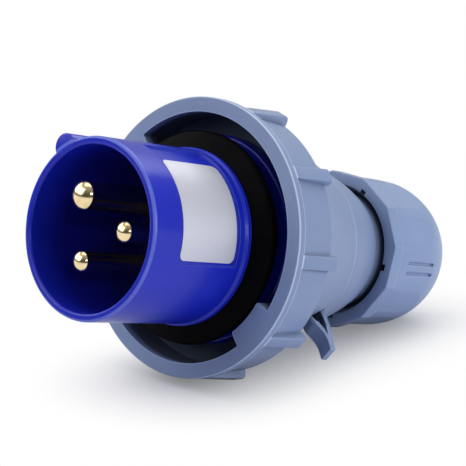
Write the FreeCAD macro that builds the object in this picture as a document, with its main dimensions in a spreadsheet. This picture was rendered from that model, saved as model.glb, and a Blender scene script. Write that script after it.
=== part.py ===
"""Industrial pin and sleeve plug, two poles and earth, with a bayonet coupling ring.

Every piece is drawn along the plug's own axis: X runs from the open end of the sleeve
to the cable end, and angles are counted from the top, clockwise as seen from the open
end. The finished pieces are then tipped together so that the plug lies on the floor as
it comes to rest, on two ribs of the coupling ring and on the round end of the nut.
"""
import FreeCAD, Part
import Sketcher
import math
import os
import re

from FreeCAD import Placement, Rotation, Vector

os.makedirs("parts", exist_ok=True)
doc = FreeCAD.newDocument("pin_and_sleeve_plug")

# Driving sizes, in millimetres and degrees
SIZES = [
    # sleeve
    ("sleeve_radius", 21.75, "outside of the sleeve"),
    ("sleeve_wall", 2.0, "wall of the sleeve"),
    ("rim_round", 0.7, "rounding of the sleeve's rim"),
    ("bead_front", 31.3, "from the rim to the bead at the sleeve's foot"),
    ("bead_length", 1.9, "bead along the sleeve"),
    ("bead_rise", 0.5, "bead above the sleeve"),
    ("seat_length", 8.1, "seat of the face seal along the sleeve"),
    ("seat_drop", 0.15, "seat below the sleeve's outside"),
    ("flange_thick", 3.7, "thickness of the flange behind the seal"),
    ("flange_rise", 4.85, "flange above the sleeve"),
    ("neck_rise", 2.45, "neck that the coupling ring turns on, above the sleeve"),
    ("spigot_length", 10.0, "spigot inside the housing"),
    ("key_angle", 324.0, "key and earth pin"),
    ("key_width", 4.6, "key across"),
    ("key_height", 2.1, "key above the sleeve"),
    ("key_round", 1.9, "rounding of the key"),
    ("pocket_front", 9.2, "from the rim to the label's recess"),
    ("pocket_length", 20.2, "recess along the sleeve"),
    ("pocket_depth", 0.55, "depth of the recess"),
    ("pocket_angle", 56.0, "middle of the recess"),
    ("pocket_sweep_angle", 90.0, "recess around the sleeve"),
    ("lip_front", 38.0, "from the rim to the lip inside the sleeve"),
    ("lip_thick", 2.0, "thickness of the lip"),
    ("lip_reach", 1.55, "lip inside the sleeve's wall"),
    # label
    ("label_margin", 0.7, "label's front and back edges inside the recess"),
    ("label_thick", 0.12, "thickness of the foil"),
    ("label_angle", 64.0, "middle of the label"),
    ("label_sweep_angle", 70.0, "label around the sleeve"),
    ("label_corner", 1.6, "rounding of the label's corners"),
    # contacts
    ("pin_circle", 9.0, "radius of the circle of the pins"),
    ("pin_shoulder", 3.0, "from the rim to where the line and neutral pins' domes begin"),
    ("earth_lead", 1.0, "earth pin longer than the others, so that it meets first"),
    ("dome_ratio", 0.55, "height of a dome over its radius"),
    ("earth_radius", 3.5, "earth pin"),
    ("line_radius", 2.5, "line and neutral pins"),
    ("root_more", 0.2, "pin's root in the carrier beyond its radius"),
    ("collar_more", 1.5, "collar beyond the pin's radius"),
    ("collar_thick", 2.0, "thickness of a collar"),
    ("barrel_more", 0.8, "terminal barrel beyond the pin's radius"),
    ("barrel_length", 14.0, "terminal behind the carrier"),
    ("wire_depth", 8.0, "depth of the hole for the wire"),
    ("wire_wall", 1.3, "wall around the hole for the wire"),
    ("screw_radius", 1.75, "terminal screw"),
    ("screw_stand", 1.6, "screw above its terminal"),
    ("screw_slot", 0.7, "width of the screwdriver slots"),
    ("carrier_length", 14.0, "carrier along the axis"),
    ("plate_thick", 2.5, "thickness of the retaining plate"),
    ("plate_screw_out", 5.0, "plate's screws outside the circle of the pins"),
    ("plate_screw_radius", 1.4, "shank of the plate's screws"),
    ("plate_screw_head", 2.6, "head of the plate's screws"),
    ("plate_screw_length", 7.0, "shank in the carrier"),
    ("plate_screw_top", 1.8, "height of the head"),
    # face seal
    ("seal_gap", 0.15, "from the bead to the seal"),
    ("seal_slope", 1.4, "seal's lip behind the seal's inner front edge"),
    ("seal_rise", 5.15, "seal's lip above the sleeve"),
    ("seal_edge", 0.8, "rounding of the lip"),
    ("seal_lip", 1.9, "thickness of the lip"),
    ("seal_waist_rise", 1.95, "seal behind the lip, above the sleeve"),
    # coupling ring
    ("ring_gap", 0.35, "from the seal's lip to the coupling ring's front"),
    ("ring_band", 2.2, "width of the front band"),
    ("ring_web", 5.0, "from the flange to the ring's back edge"),
    ("ring_play", 0.3, "free play of the ring on every side"),
    ("ring_wall", 3.9, "wall of the ring at its front band"),
    ("ring_edge_round", 0.8, "rounding of the ring's outer front edge"),
    ("band_rise", 0.9, "front band above the ring behind it"),
    ("ring_taper", 0.9, "ring smaller at its back edge than behind the band"),
    ("lug_clear", 0.8, "room between the seal's lip and a bayonet lug"),
    ("lug_height", 3.8, "lug inside the ring"),
    ("lug_sweep_angle", 23.2, "lug around the ring"),
    ("lug_depth", 5.0, "lug along the ring"),
    ("lug_round", 0.9, "rounding of a lug's corners"),
    ("rib_count", 10, "ribs around the ring"),
    ("rib_angle", 126.0, "rib that stands over a bayonet lug"),
    ("rib_width", 3.8, "rib across"),
    ("rib_rise", 0.5, "rib above the front band"),
    ("rib_over", 1.3, "rib beyond the ring's back edge"),
    ("rib_round", 1.3, "rounding of a rib's outer end"),
    # rear housing
    ("housing_rise", 6.0, "front of the housing above the neck"),
    ("housing_band", 2.2, "length of the straight front"),
    ("cone_length", 25.7, "from the ring's back edge to the step in the housing"),
    ("step_in", 1.8, "housing at the step, smaller than the neck of the ring"),
    ("step_drop", 0.25, "drop at the step"),
    ("shoulder_length", 16.7, "rounded back behind the step"),
    ("shoulder_rise", 0.3, "rounded back's end above the thread"),
    ("shoulder_bulge", 0.8, "rounded back beyond a straight cone, half way along"),
    ("housing_wall", 4.0, "wall of the cone"),
    ("thread_length", 18.0, "neck with the gland's thread"),
    ("thread_wall", 3.4, "wall of that neck"),
    ("spigot_play", 0.2, "housing around the spigot"),
    ("oring_back", 4.0, "from the ring's back edge to the housing's sealing ring"),
    ("oring_wire", 1.15, "half thickness of that sealing ring"),
    # lock lever
    ("lever_angle", 126.0, "lever around the plug"),
    ("lever_width", 3.0, "lever across"),
    ("lever_back", 16.6, "from the ring's back edge to the lever's pivot"),
    ("lever_sink", 0.2, "pivot nearer the axis than the neck of the ring"),
    ("lever_barrel", 0.9, "radius of the pivot's barrel"),
    ("lever_ear", 0.9, "barrel beyond each side of the lever"),
    ("lever_height", 15.3, "outer end above the pivot"),
    ("lever_top_back", 6.5, "outer end's back, ahead of the pivot"),
    ("lever_top_length", 2.9, "outer end along the axis"),
    ("lever_foot_length", 1.6, "front leg's foot along the axis"),
    ("lever_foot_rise", 3.0, "foot's end above the pivot"),
    ("lever_fork_back", 5.9, "where the legs part, ahead of the pivot"),
    ("lever_fork_rise", 9.9, "where the legs part, above the pivot"),
    ("lever_leg", 1.5, "thickness of the back leg"),
    ("slot_gap", 0.35, "free room around the lever"),
    # cable gland
    ("nut_gap", 1.8, "from the housing's rounded back to the gland nut"),
    ("nut_wall", 4.65, "from the thread to a flat of the nut's collar"),
    ("nut_corner_rise", 0.95, "collar's corners above its flats"),
    ("nut_sides", 12, "flats of the nut"),
    ("nut_turn_angle", 4.5, "flats turned from the top"),
    ("nut_band", 3.6, "length of the collar"),
    ("nut_bevel", 1.3, "length of the bevel behind the collar"),
    ("nut_body_drop", 0.25, "body below the collar's flats"),
    ("nut_flat_drop", 0.65, "body's flats below the collar's flats"),
    ("nut_dome_ahead", 7.7, "from where the body begins to round to the end of the nut's cone"),
    ("nut_round", 4.0, "tighter rounding at the end of the domed body"),
    ("nut_face_width", 2.35, "flat end around the way for the cable"),
    ("nut_mouth_rise", 1.3, "opening at the nut's front, outside the thread"),
    ("nut_mouth_depth", 3.2, "depth of that opening"),
    ("nut_notch", 1.1, "depth of the notches in the opening"),
    ("nut_notch_width", 1.8, "width of a notch"),
    ("nut_notches", 5, "notches around the opening"),
    ("cone_clear", 0.75, "room around the clamp at the end of the nut's cone"),
    ("groove_set_back", 8.7, "from the nut's front to the grip grooves"),
    ("groove_length", 12.7, "length of the grooves"),
    ("groove_width", 0.9, "grip groove across"),
    ("groove_pitch", 2.9, "between the two grooves of a pair"),
    ("groove_depth", 0.45, "depth of a groove"),
    ("groove_pairs", 4, "pairs of grooves around the nut"),
    ("thread_play", 0.3, "nut around the neck's thread"),
    ("cable_radius", 8.2, "way for the cable"),
    ("clamp_sink", 8.0, "clamp inside the threaded neck"),
    ("clamp_foot", 4.0, "clamp's closed foot"),
    ("clamp_length", 16.0, "clamp with its fingers"),
    ("clamp_wall", 1.5, "thickness of the clamp's fingers"),
    ("clamp_room", 0.55, "neck's bore around the fingers"),
    ("clamp_fingers", 8, "fingers around the clamp"),
    ("clamp_gap", 1.4, "gap between fingers"),
    ("clamp_end_play", 0.6, "from the fingers to the end of the nut's cone"),
    ("seal_wall", 2.9, "thickness of the cable seal"),
    ("washer_thick", 1.2, "thickness of the slip washer"),
    ("seat_play", 0.05, "free play of a seated piece"),
]

# Places and radii that follow from the driving sizes; places are counted from the rim
FOLLOWING = [
    ("bead_radius", "sleeve_radius + bead_rise"),
    ("bead_back", "bead_front + bead_length"),
    ("seat_radius", "sleeve_radius - seat_drop"),
    ("flange_front", "bead_back + seat_length"),
    ("flange_back", "flange_front + flange_thick"),
    ("flange_radius", "sleeve_radius + flange_rise"),
    ("neck_radius", "sleeve_radius + neck_rise"),
    ("lip_radius", "sleeve_radius - sleeve_wall - lip_reach"),
    ("pocket_back", "pocket_front + pocket_length"),
    ("carrier_back", "lip_front + carrier_length"),
    ("barrel_end", "carrier_back + barrel_length"),
    ("plate_screw_circle", "pin_circle + plate_screw_out"),
    ("seal_front", "bead_back + seal_gap"),
    ("seal_radius", "sleeve_radius + seal_rise"),
    ("seal_waist", "sleeve_radius + seal_waist_rise"),
    ("ring_front", "seal_front + seal_slope + ring_gap"),
    ("ring_back", "flange_back + ring_web"),
    ("lug_radius", "seal_radius + lug_clear"),
    ("ring_bore", "lug_radius + lug_height"),
    ("ring_radius", "ring_bore + ring_wall"),
    ("ring_shoulder", "ring_radius - band_rise"),
    ("ring_tail", "ring_shoulder - ring_taper"),
    ("rib_radius", "ring_radius + rib_rise"),
    ("spigot_end", "ring_back + spigot_length"),
    ("oring_at", "ring_back + oring_back"),
    ("housing_radius", "neck_radius + housing_rise"),
    ("step_at", "ring_back + cone_length"),
    ("step_radius", "neck_radius - step_in"),
    ("shoulder_end", "step_at + shoulder_length"),
    ("clamp_out", "cable_radius + seal_wall + seat_play + clamp_wall"),
    ("neck_bore", "clamp_out + clamp_room"),
    ("thread_radius", "neck_bore + thread_wall"),
    ("thread_end", "shoulder_end + thread_length"),
    ("shoulder_radius", "thread_radius + shoulder_rise"),
    ("lever_pivot", "ring_back + lever_back"),
    ("lever_pivot_radius", "neck_radius - lever_sink"),
    ("lever_top", "lever_pivot_radius + lever_height"),
    ("lever_foot", "lever_pivot_radius + lever_foot_rise"),
    ("lever_foot_back", "lever_pivot - lever_top_back"),
    ("lever_foot_front", "lever_foot_back - lever_foot_length"),
    ("nut_front", "shoulder_end + nut_gap"),
    ("nut_flat", "thread_radius + nut_wall"),
    ("nut_corner", "nut_flat + nut_corner_rise"),
    ("nut_body", "nut_flat - nut_body_drop"),
    ("nut_body_flat", "nut_flat - nut_flat_drop"),
    ("nut_face", "cable_radius + nut_face_width"),
    ("nut_mouth", "thread_radius + thread_play + nut_mouth_rise"),
    ("nut_cone", "clamp_out + cone_clear"),
    ("groove_front", "nut_front + groove_set_back"),
    ("clamp_front", "thread_end - clamp_sink"),
    ("clamp_base", "clamp_front + clamp_foot"),
    ("clamp_back", "clamp_front + clamp_length"),
    ("nut_cone_at", "clamp_back + clamp_end_play"),
    ("nut_dome_at", "nut_cone_at - nut_dome_ahead"),
    ("nut_dome", "3.41421*nut_body - 3.41421*nut_face - 2.41421*nut_round"),
    ("nut_round_at", "nut_dome_at + 0.70711*nut_dome - 0.70711*nut_round"),
    ("nut_end", "nut_round_at + nut_round"),
]

sheet = doc.addObject("Spreadsheet::Sheet", "Sizes")
size = {}
for row, (alias, figure, note) in enumerate(SIZES, start=1):
    sheet.set("A%d" % row, str(figure))
    sheet.setAlias("A%d" % row, alias)
    sheet.set("B%d" % row, note)
    size[alias] = float(figure)
doc.recompute()


def number(text):
    """Value of a sum of products of named sizes."""
    total = 0.0
    for term in text.replace(" - ", " + -1*").split(" + "):
        product = 1.0
        for factor in term.split("*"):
            product *= size[factor] if factor in size else float(factor)
        total += product
    return total


following = dict(FOLLOWING)
for alias, total in FOLLOWING:
    size[alias] = number(total)


def spelled(text):
    """A sum with each name given as the sheet's cells that it comes from."""
    def cells(name):
        word = name[0]
        return "(" + spelled(following[word]) + ")" if word in following else "Sizes." + word
    return re.sub(r"[a-z]\w*", cells, text)


def bind(thing, path, text):
    """Bind one property of an object to a sum of named sizes."""
    thing.setExpression(path, spelled(text))


def new_body(name):
    body = doc.addObject("PartDesign::Body", name)
    body.Label = name
    return body


def origin_part(body, role):
    return [one for one in body.Origin.OriginFeatures if one.Role == role][0]


def draw(body, name, role, corners, arcs=None):
    """Closed outline; each corner is a pair of sums, and arcs gives a corner's way onwards
    as an arc through a third point."""
    arcs = arcs or {}
    sketch = body.newObject("Sketcher::SketchObject", name)
    sketch.AttachmentSupport = (origin_part(body, role), [""])
    sketch.MapMode = "FlatFace"
    spots = [Vector(number(a), number(b), 0) for a, b in corners]
    count = len(corners)
    for i in range(count):
        here = spots[i]
        there = spots[(i + 1) % count]
        if i in arcs:
            middle = Vector(number(arcs[i][0]), number(arcs[i][1]), 0)
            sketch.addGeometry(Part.Arc(here, middle, there), False)
        else:
            sketch.addGeometry(Part.LineSegment(here, there), False)
    heads = []
    tails = []
    for i in range(count):
        start = sketch.getPoint(i, 1)
        forward = (start - spots[i]).Length < 1e-6
        heads.append(1 if forward else 2)
        tails.append(2 if forward else 1)
    for i in range(count):
        follower = (i + 1) % count
        sketch.addConstraint(Sketcher.Constraint("Coincident", i, tails[i], follower, heads[follower]))
    for i, (a, b) in enumerate(corners):
        for kind, text, at in (("DistanceX", a, spots[i].x), ("DistanceY", b, spots[i].y)):
            index = sketch.addConstraint(Sketcher.Constraint(kind, -1, 1, i, heads[i], at))
            bind(sketch, "Constraints[%d]" % index, text)
    for i, (a, b) in arcs.items():
        point = sketch.addGeometry(Part.Point(Vector(number(a), number(b), 0)), True)
        for kind, text in (("DistanceX", a), ("DistanceY", b)):
            index = sketch.addConstraint(Sketcher.Constraint(kind, -1, 1, point, 1, number(text)))
            bind(sketch, "Constraints[%d]" % index, text)
        sketch.addConstraint(Sketcher.Constraint("PointOnObject", point, 1, i))
    return sketch


def shift(sketch, along=None, turn=None, axis=Vector(0, 0, 1)):
    """Move a sketch along its own normal and turn it about the plug's axis."""
    angle = number(turn) if turn else 0.0
    base = Vector(0, 0, number(along) if along else 0.0)
    sketch.AttachmentOffset = Placement(base, Rotation(axis, angle))
    if along:
        bind(sketch, "AttachmentOffset.Base.z", along)
    if turn:
        bind(sketch, "AttachmentOffset.Rotation.Angle", turn)


def lathe(body, name, corners, arcs=None, kind="Revolution", span=None, turn=None):
    """Turn an outline in the X-Z plane about the axis, all round or through a span."""
    sketch = draw(body, name + "_outline", "XZ_Plane", corners, arcs)
    if turn:
        shift(sketch, turn=turn, axis=Vector(1, 0, 0))
    feature = body.newObject("PartDesign::" + kind, name)
    feature.Profile = sketch
    feature.ReferenceAxis = (sketch, ["H_Axis"])
    feature.Angle = 360.0
    if span:
        feature.Midplane = True
        bind(feature, "Angle", span)
    return feature


def block(body, name, corners, at, length, turn=None, kind="Pad", arcs=None):
    """Run a cross-section drawn in the Y-Z plane along the axis, starting at one station."""
    sketch = draw(body, name + "_section", "YZ_Plane", corners, arcs)
    shift(sketch, along=at, turn=turn)
    feature = body.newObject("PartDesign::" + kind, name)
    feature.Profile = sketch
    feature.Reversed = kind == "Pocket"
    bind(feature, "Length", length)
    return feature


def slab(body, name, corners, width, turn=None, kind="Pad", arcs=None):
    """Give an outline in the X-Z plane a width, half to each side."""
    sketch = draw(body, name + "_outline", "XZ_Plane", corners, arcs)
    if turn:
        shift(sketch, turn=turn, axis=Vector(1, 0, 0))
    feature = body.newObject("PartDesign::" + kind, name)
    feature.Profile = sketch
    feature.Midplane = True
    bind(feature, "Length", width)
    return feature


def around(body, name, features, count):
    """Repeat features around the plug's axis."""
    pattern = body.newObject("PartDesign::PolarPattern", name)
    pattern.Originals = features
    pattern.Axis = (origin_part(body, "X_Axis"), [""])
    pattern.Angle = 360.0
    pattern.Occurrences = int(number(count))
    bind(pattern, "Occurrences", count)
    body.Tip = pattern
    return pattern


# How near an edge lies to the place that it is looked for at
NEAR = 0.02


def edges_where(shape, test):
    """Names of the edges whose ends and middle all pass a test."""
    names = []
    for index, edge in enumerate(shape.Edges, start=1):
        first, last = edge.ParameterRange
        spots = [edge.valueAt(first + (last - first) * part) for part in (0.0, 0.5, 1.0)]
        if all(test(spot) for spot in spots):
            names.append("Edge%d" % index)
    return names


def soften(body, name, test, radius, kind="Fillet"):
    """Round or bevel the edges of the body so far that pass a test."""
    doc.recompute()
    base = body.Tip
    names = edges_where(base.Shape, test)
    if not names:
        raise RuntimeError(name + ": no edge to soften")
    feature = body.newObject("PartDesign::" + kind, name)
    feature.Base = (base, names)
    bind(feature, "Radius" if kind == "Fillet" else "Size", radius)
    doc.recompute()
    return feature


def off_axis(spot):
    return math.hypot(spot.y, spot.z)


def ring_edge(at, radius):
    """Test for a round edge at one station and radius."""
    def test(spot):
        return abs(spot.x - number(at)) < NEAR and abs(off_axis(spot) - number(radius)) < NEAR
    return test


def angle_of(spot):
    """Angle from the top, clockwise as seen from the open end."""
    return math.degrees(math.atan2(-spot.y, spot.z)) % 360.0


pieces = []


def finish(body, place=None):
    """Keep a finished piece with its place along the plug's axis."""
    doc.recompute()
    pieces.append((body, place or Placement()))


def turned(angle, out="0"):
    """Place of a piece drawn on the axis: moved out from it, then turned about it."""
    spin = Placement(Vector(0, 0, 0), Rotation(Vector(1, 0, 0), number(angle)))
    return spin.multiply(Placement(Vector(0, 0, number(out)), Rotation()))


# Sleeve: shroud, bead, seat of the seal, flange, neck and spigot in one moulding
sleeve = new_body("plug_sleeve")
lathe(sleeve, "shell", [
    ("0", "sleeve_radius - sleeve_wall"),
    ("0", "sleeve_radius"),
    ("bead_front", "sleeve_radius"),
    ("bead_front + bead_radius - sleeve_radius", "bead_radius"),
    ("bead_back", "bead_radius"),
    ("bead_back", "seat_radius"),
    ("flange_front", "seat_radius"),
    ("flange_front", "flange_radius"),
    ("flange_back", "flange_radius"),
    ("flange_back", "neck_radius"),
    ("oring_at - 1.15*oring_wire", "neck_radius"),
    ("oring_at - 1.15*oring_wire", "neck_radius + spigot_play - 2*oring_wire - seat_play"),
    ("oring_at + 1.15*oring_wire", "neck_radius + spigot_play - 2*oring_wire - seat_play"),
    ("oring_at + 1.15*oring_wire", "neck_radius"),
    ("spigot_end", "neck_radius"),
    ("spigot_end", "sleeve_radius - sleeve_wall"),
    ("lip_front + lip_thick", "sleeve_radius - sleeve_wall"),
    ("lip_front + lip_thick", "lip_radius"),
    ("lip_front", "lip_radius"),
    ("lip_front", "sleeve_radius - sleeve_wall"),
])
key_edge = "sleeve_radius + key_height"
block(sleeve, "key", [
    ("-0.5*key_width", "sleeve_radius - 0.5*sleeve_wall"),
    ("-0.5*key_width", key_edge + " - key_round"),
    ("-0.5*key_width + key_round", key_edge),
    ("0.5*key_width - key_round", key_edge),
    ("0.5*key_width", key_edge + " - key_round"),
    ("0.5*key_width", "sleeve_radius - 0.5*sleeve_wall"),
], "0", "bead_front + bead_radius - sleeve_radius", "key_angle", arcs={
    1: ("-0.5*key_width + 0.293*key_round", key_edge + " - 0.293*key_round"),
    3: ("0.5*key_width - 0.293*key_round", key_edge + " - 0.293*key_round"),
})
lathe(sleeve, "label_recess", [
    ("pocket_front", "sleeve_radius - pocket_depth"),
    ("pocket_front", "sleeve_radius + 1"),
    ("pocket_back", "sleeve_radius + 1"),
    ("pocket_back", "sleeve_radius - pocket_depth"),
], kind="Groove", span="pocket_sweep_angle", turn="pocket_angle")
soften(sleeve, "rim_edges", lambda spot: abs(spot.x) < NEAR, "rim_round")
soften(sleeve, "bead_edges", ring_edge("bead_back", "bead_radius"), "0.5*bead_radius - 0.5*sleeve_radius")
soften(sleeve, "flange_edges", ring_edge("flange_front", "flange_radius"), "rim_round")
finish(sleeve)

# Bare rating label in the sleeve's recess
label = new_body("rating_label")
label_floor = "sleeve_radius - pocket_depth"
lathe(label, "foil", [
    ("pocket_front + label_margin", label_floor),
    ("pocket_front + label_margin", label_floor + " + label_thick"),
    ("pocket_back - label_margin", label_floor + " + label_thick"),
    ("pocket_back - label_margin", label_floor),
], span="label_sweep_angle", turn="label_angle")


def label_corner(spot):
    """Test for the four short edges at the label's corners."""
    ends = (number("pocket_front + label_margin"), number("pocket_back - label_margin"))
    at_end = min(abs(spot.x - end) for end in ends) < NEAR
    sweep = abs((angle_of(spot) - number("label_angle") + 180.0) % 360.0 - 180.0)
    return at_end and abs(sweep - number("0.5*label_sweep_angle")) < 0.05


soften(label, "corners", label_corner, "label_corner")
finish(label)

# Face seal around the sleeve's foot
seal = new_body("face_seal")
lathe(seal, "rubber", [
    ("seal_front", "seat_radius + seat_play"),
    ("seal_front", "bead_radius"),
    ("seal_front + seal_slope", "seal_radius - seal_edge"),
    ("seal_front + seal_slope + seal_edge", "seal_radius"),
    ("seal_front + seal_slope + seal_lip", "seal_radius"),
    ("seal_front + seal_slope + 1.5*seal_lip", "seal_waist"),
    ("flange_front", "seal_waist"),
    ("flange_front", "seat_radius + seat_play"),
], arcs={
    2: ("seal_front + seal_slope + 0.293*seal_edge", "seal_radius - 0.293*seal_edge"),
})
finish(seal)

# Contact carrier and the plate that holds the pins in it
carrier = new_body("contact_carrier")
lathe(carrier, "disc", [
    ("lip_front", "0"),
    ("lip_front", "lip_radius - seat_play"),
    ("lip_front + lip_thick", "lip_radius - seat_play"),
    ("lip_front + lip_thick", "sleeve_radius - sleeve_wall - seat_play"),
    ("carrier_back", "sleeve_radius - sleeve_wall - seat_play"),
    ("carrier_back", "0"),
])
plate = new_body("pin_retainer")
lathe(plate, "disc", [
    ("carrier_back", "0"),
    ("carrier_back", "sleeve_radius - sleeve_wall - seat_play"),
    ("carrier_back + plate_thick", "sleeve_radius - sleeve_wall - seat_play"),
    ("carrier_back + plate_thick", "0"),
])


def drill(body, name, radius, at, length, turn, out):
    """Round hole parallel to the plug's axis."""
    reach = number(radius)
    sketch = body.newObject("Sketcher::SketchObject", name + "_circle")
    sketch.AttachmentSupport = (origin_part(body, "YZ_Plane"), [""])
    sketch.MapMode = "FlatFace"
    sketch.addGeometry(Part.Circle(Vector(0, number(out), 0), Vector(0, 0, 1), reach), False)
    sketch.addConstraint(Sketcher.Constraint("PointOnObject", 0, 3, -2))
    far = sketch.addConstraint(Sketcher.Constraint("DistanceY", -1, 1, 0, 3, number(out)))
    bind(sketch, "Constraints[%d]" % far, out)
    wide = sketch.addConstraint(Sketcher.Constraint("Radius", 0, reach))
    bind(sketch, "Constraints[%d]" % wide, radius)
    shift(sketch, along=at, turn=turn)
    hole = body.newObject("PartDesign::Pocket", name)
    hole.Profile = sketch
    hole.Reversed = True
    bind(hole, "Length", length)
    return hole


CONTACTS = [
    ("earth", "earth_radius", "key_angle"),
    ("line", "line_radius", "key_angle - 240"),
    ("neutral", "line_radius", "key_angle - 120"),
]
for name, radius, angle in CONTACTS:
    drill(carrier, name + "_hole", radius + " + root_more + seat_play", "lip_front",
          "carrier_back - lip_front", angle, "pin_circle")
    drill(carrier, name + "_collar_hole", radius + " + collar_more + seat_play",
          "carrier_back - collar_thick", "collar_thick", angle, "pin_circle")
    drill(plate, name + "_hole", radius + " + barrel_more + seat_play", "carrier_back",
          "plate_thick", angle, "pin_circle")
first_screw = "key_angle - 60"
plate_hole = drill(plate, "screw_hole", "plate_screw_radius + seat_play", "carrier_back",
                   "plate_thick", first_screw, "plate_screw_circle")
around(plate, "screw_holes", [plate_hole], "3")
carrier_hole = drill(carrier, "screw_hole", "plate_screw_radius + seat_play",
                     "carrier_back - plate_screw_length", "plate_screw_length",
                     first_screw, "plate_screw_circle")
around(carrier, "screw_holes", [carrier_hole], "3")
finish(carrier)
finish(plate)

plate_screws = []
for index in range(3):
    screw = new_body("retainer_screw_%d" % (index + 1))
    lathe(screw, "turned_part", [
        ("carrier_back - plate_screw_length", "0"),
        ("carrier_back - plate_screw_length", "plate_screw_radius"),
        ("carrier_back + plate_thick", "plate_screw_radius"),
        ("carrier_back + plate_thick", "plate_screw_head"),
        ("carrier_back + plate_thick + plate_screw_top", "0.8*plate_screw_head"),
        ("carrier_back + plate_thick + plate_screw_top", "0"),
    ])
    slab(screw, "slot", [
        ("carrier_back + plate_thick + 0.5*plate_screw_top", "-1*plate_screw_head - 1"),
        ("carrier_back + plate_thick + 0.5*plate_screw_top", "plate_screw_head + 1"),
        ("carrier_back + plate_thick + 2*plate_screw_top", "plate_screw_head + 1"),
        ("carrier_back + plate_thick + 2*plate_screw_top", "-1*plate_screw_head - 1"),
    ], "screw_slot", kind="Pocket")
    doc.recompute()
    screw.Placement = turned("key_angle - 60 - %d" % (120 * index), "plate_screw_circle")
    plate_screws.append(screw)
screws = doc.addObject("Part::Compound", "retainer_screws")
screws.Label = "retainer_screws"
screws.Links = plate_screws
finish(screws)

# Pins: domed end, collar and screw terminal, turned from one bar
for name, radius, angle in CONTACTS:
    pin = new_body(name + "_pin")
    barrel = radius + " + barrel_more"
    shoulder = "pin_shoulder - earth_lead" if name == "earth" else "pin_shoulder"
    lathe(pin, "turned_part", [
        (shoulder + " - " + radius + "*dome_ratio", "0"),
        (shoulder, radius),
        ("lip_front", radius),
        ("lip_front", radius + " + root_more"),
        ("carrier_back - collar_thick", radius + " + root_more"),
        ("carrier_back - collar_thick", radius + " + collar_more"),
        ("carrier_back", radius + " + collar_more"),
        ("carrier_back", barrel),
        ("barrel_end", barrel),
        ("barrel_end", barrel + " - wire_wall"),
        ("barrel_end - wire_depth", barrel + " - wire_wall"),
        ("barrel_end - wire_depth", "0"),
    ], arcs={0: (shoulder + " - 0.835*" + radius + "*dome_ratio", "0.459*" + radius)})
    # tapped hole for the terminal screw, square to the pin
    sketch = pin.newObject("Sketcher::SketchObject", "screw_circle")
    sketch.AttachmentSupport = (origin_part(pin, "XY_Plane"), [""])
    sketch.MapMode = "FlatFace"
    at = number("barrel_end - 0.5*wire_depth")
    reach = number("screw_radius + seat_play")
    sketch.addGeometry(Part.Circle(Vector(at, 0, 0), Vector(0, 0, 1), reach), False)
    sketch.addConstraint(Sketcher.Constraint("PointOnObject", 0, 3, -1))
    far = sketch.addConstraint(Sketcher.Constraint("DistanceX", -1, 1, 0, 3, at))
    bind(sketch, "Constraints[%d]" % far, "barrel_end - 0.5*wire_depth")
    wide = sketch.addConstraint(Sketcher.Constraint("Radius", 0, reach))
    bind(sketch, "Constraints[%d]" % wide, "screw_radius + seat_play")
    hole = pin.newObject("PartDesign::Pocket", "screw_hole")
    hole.Profile = sketch
    hole.Reversed = True
    bind(hole, "Length", barrel + " + 1")
    finish(pin, turned(angle, "pin_circle"))

# Terminal screws: turned on the axis, then stood across their terminals
for name, radius, angle in CONTACTS:
    screw = new_body(name + "_terminal_screw")
    barrel = radius + " + barrel_more"
    lathe(screw, "turned_part", [
        ("0", "0"),
        ("0", "0.6*screw_radius"),
        ("0.4*screw_radius", "screw_radius"),
        (barrel + " + screw_stand", "screw_radius"),
        (barrel + " + screw_stand", "0"),
    ])
    slab(screw, "slot", [
        (barrel + " + 0.3*screw_stand", "-1*screw_radius - 1"),
        (barrel + " + 0.3*screw_stand", "screw_radius + 1"),
        (barrel + " + 2*screw_stand", "screw_radius + 1"),
        (barrel + " + 2*screw_stand", "-1*screw_radius - 1"),
    ], "screw_slot", kind="Pocket")
    up = Placement(Vector(number("barrel_end - 0.5*wire_depth"), 0, 0), Rotation(Vector(0, 1, 0), -90))
    finish(screw, turned(angle, "pin_circle").multiply(up))

# Coupling ring with two bayonet lugs inside and grip ribs outside
ring = new_body("coupling_ring")
web_front = "flange_back + ring_play"
lathe(ring, "wall", [
    ("ring_front", "ring_bore"),
    ("ring_front", "ring_radius"),
    ("ring_front + ring_band", "ring_radius"),
    ("ring_front + ring_band", "ring_shoulder"),
    ("ring_back", "ring_tail"),
    ("ring_back", "neck_radius + ring_play"),
    (web_front, "neck_radius + ring_play"),
    (web_front, "ring_bore"),
])
lug = lathe(ring, "lug", [
    ("ring_front", "lug_radius"),
    ("ring_front", "ring_bore + 0.5"),
    ("ring_front + lug_depth", "ring_bore + 0.5"),
    ("ring_front + lug_depth", "lug_radius"),
], span="lug_sweep_angle", turn="rib_angle")
around(ring, "lugs", [lug], "2")


def lug_corner(spot):
    """Test for the four axial edges at the lugs' inner corners."""
    return abs(off_axis(spot) - number("lug_radius")) < NEAR and lug_side(spot)


def lug_side(spot):
    sweep = abs((angle_of(spot) - number("rib_angle") + 90.0) % 180.0 - 90.0)
    inside = number("ring_front") - NEAR < spot.x < number("ring_front + lug_depth") + NEAR
    return inside and abs(sweep - number("0.5*lug_sweep_angle")) < 0.05


soften(ring, "lug_corners", lug_corner, "lug_round")
rib_end = "ring_back + rib_over"
rib = slab(ring, "rib", [
    ("ring_front + 0.8*ring_band", "ring_tail - 1"),
    ("ring_front + 0.8*ring_band", "rib_radius"),
    (rib_end + " - rib_round", "rib_radius"),
    (rib_end, "rib_radius - rib_round"),
    (rib_end, "ring_tail - 1"),
], "rib_width", "rib_angle", arcs={
    2: (rib_end + " - 0.293*rib_round", "rib_radius - 0.293*rib_round"),
})
around(ring, "ribs", [rib], "rib_count")
soften(ring, "band_edges", ring_edge("ring_front", "ring_radius"), "ring_edge_round")
finish(ring)

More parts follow.
